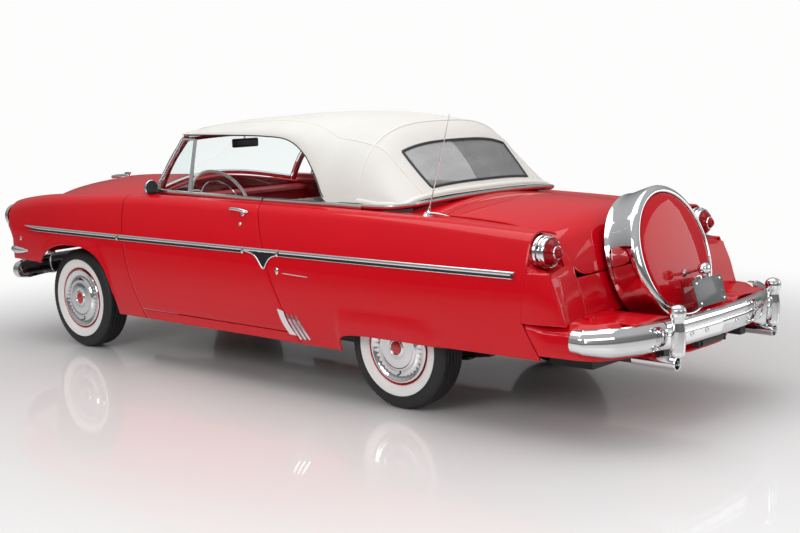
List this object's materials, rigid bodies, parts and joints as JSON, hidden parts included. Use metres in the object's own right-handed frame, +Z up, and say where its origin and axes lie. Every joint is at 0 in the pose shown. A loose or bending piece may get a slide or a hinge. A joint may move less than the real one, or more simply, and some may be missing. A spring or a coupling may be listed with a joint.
{
  "type": "two-door convertible car",
  "caption": "1950s two-door convertible car with a raised fabric top, wrap-round windshield, chrome bumpers, wide whitewall tyres and a covered spare wheel behind the boot.",
  "frame": {"origin": "on the ground, under the middle of the car's length and width", "axes": "+Y towards the rear, +X to the driver's left side, +Z up; the front of the car faces -Y"},
  "size_m": [1.8596, 5.4168, 1.5904],
  "materials": {
    "paint": "high gloss bright red",
    "chrome": "polished",
    "lamp": "ribbed red lens in a bright ring",
    "glass": "clear",
    "film": "flexible clear sheet",
    "top_fabric": "coated off-white cloth",
    "upholstery": "white and grey, pleated",
    "dash": "gloss red",
    "rim_plastic": "gloss white",
    "tyre": "black with a white wall",
    "carpet": "matt dark",
    "steel": "satin black"
  },
  "bodies": {
    "body": {"chassis_frame": "steel", "floor_pan": "carpet", "engine_block": "steel", "front_fender_left": "paint", "front_fender_right": "paint", "rear_quarter_left": "paint", "rear_quarter_right": "paint", "cowl_panel": "paint", "rocker_panels": "paint", "deck_panel": "paint", "tail_panel": "paint", "rear_pan": "paint", "nose_panel": "paint", "grille": "chrome", "headlamps": "chrome", "taillamps": "lamp", "front_bumper": "chrome", "rear_bumper": "chrome", "windshield_frame": "chrome", "windshield_glass": "glass", "convertible_top": "top_fabric", "rear_window": "film", "dashboard": "dash", "steering_column": "steel", "front_seat": "upholstery", "rear_seat": "upholstery", "exhaust": "chrome", "rear_axle": "steel", "leaf_springs": "steel", "fuel_tank": "steel", "control_arms": "steel", "carrier_hinge": "steel"},
    "door_left": {"door_left": "paint", "vent_window_left": "chrome"},
    "door_right": {"door_right": "paint", "vent_window_right": "chrome"},
    "hood": {"hood": "paint"},
    "trunk_lid": {"trunk_lid": "paint"},
    "spare_carrier": {"spare_cover": "paint", "spare_band": "chrome", "spare_arm": "steel", "plate_bracket": "steel"},
    "steering_wheel": {"steering_wheel": "rim_plastic"},
    "knuckle_left": {"knuckle_left": "steel"},
    "knuckle_right": {"knuckle_right": "steel"},
    "wheel_front_left": {"tyre_front_left": "tyre", "wheel_front_left": "chrome"},
    "wheel_front_right": {"tyre_front_right": "tyre", "wheel_front_right": "chrome"},
    "wheel_rear_left": {"tyre_rear_left": "tyre", "wheel_rear_left": "chrome"},
    "wheel_rear_right": {"tyre_rear_right": "tyre", "wheel_rear_right": "chrome"}
  },
  "joints": [
    {"name": "door_left_hinge", "type": "hinge", "parent": "body", "child": "door_left", "pos_m": [0.93, -1.1645, 0.7], "axis": [0, 0, -1], "range_deg": [0, 65]},
    {"name": "door_right_hinge", "type": "hinge", "parent": "body", "child": "door_right", "pos_m": [-0.93, -1.1645, 0.7], "axis": [0, 0, 1], "range_deg": [0, 65]},
    {"name": "hood_hinge", "type": "hinge", "parent": "body", "child": "hood", "pos_m": [0, -1.3045, 1.156], "axis": [-1, 0, 0], "range_deg": [0, 45]},
    {"name": "trunk_lid_hinge", "type": "hinge", "parent": "body", "child": "trunk_lid", "pos_m": [0, 1.3005, 1.126], "axis": [1, 0, 0], "range_deg": [0, 40]},
    {"name": "spare_carrier_hinge", "type": "hinge", "parent": "body", "child": "spare_carrier", "pos_m": [0, 2.5755, 0.42], "axis": [-1, 0, 0], "range_deg": [0, 42]},
    {"name": "steer_left", "type": "hinge", "parent": "body", "child": "knuckle_left", "pos_m": [0.602, -1.8045, 0.342], "axis": [0, 0, 1], "range_deg": [-28, 28]},
    {"name": "steer_right", "type": "hinge", "parent": "body", "child": "knuckle_right", "pos_m": [-0.602, -1.8045, 0.342], "axis": [0, 0, 1], "range_deg": [-28.1, 28.1]},
    {"name": "steering_wheel_turn", "type": "hinge", "parent": "body", "child": "steering_wheel", "pos_m": [0.372, -0.8005, 1], "axis": [0, 0.866, 0.5], "range_deg": [-510, 510]},
    {"name": "roll_front_left", "type": "hinge", "parent": "knuckle_left", "child": "wheel_front_left", "pos_m": [0.711, -1.8045, 0.342], "axis": [1, 0, 0], "continuous": true},
    {"name": "roll_front_right", "type": "hinge", "parent": "knuckle_right", "child": "wheel_front_right", "pos_m": [-0.711, -1.8045, 0.342], "axis": [1, 0, 0], "continuous": true},
    {"name": "roll_rear_left", "type": "hinge", "parent": "body", "child": "wheel_rear_left", "pos_m": [0.711, 1.1295, 0.342], "axis": [1, 0, 0], "continuous": true},
    {"name": "roll_rear_right", "type": "hinge", "parent": "body", "child": "wheel_rear_right", "pos_m": [-0.711, 1.1295, 0.342], "axis": [1, 0, 0], "continuous": true}
  ],
  "couplings": [
    {"joint": "steer_right", "follows": "steer_left", "ratio": 1},
    {"joint": "steering_wheel_turn", "follows": "steer_left", "ratio": 18},
    {"joint": "spare_carrier_hinge", "follows": "trunk_lid_hinge", "ratio": 1}
  ]
}
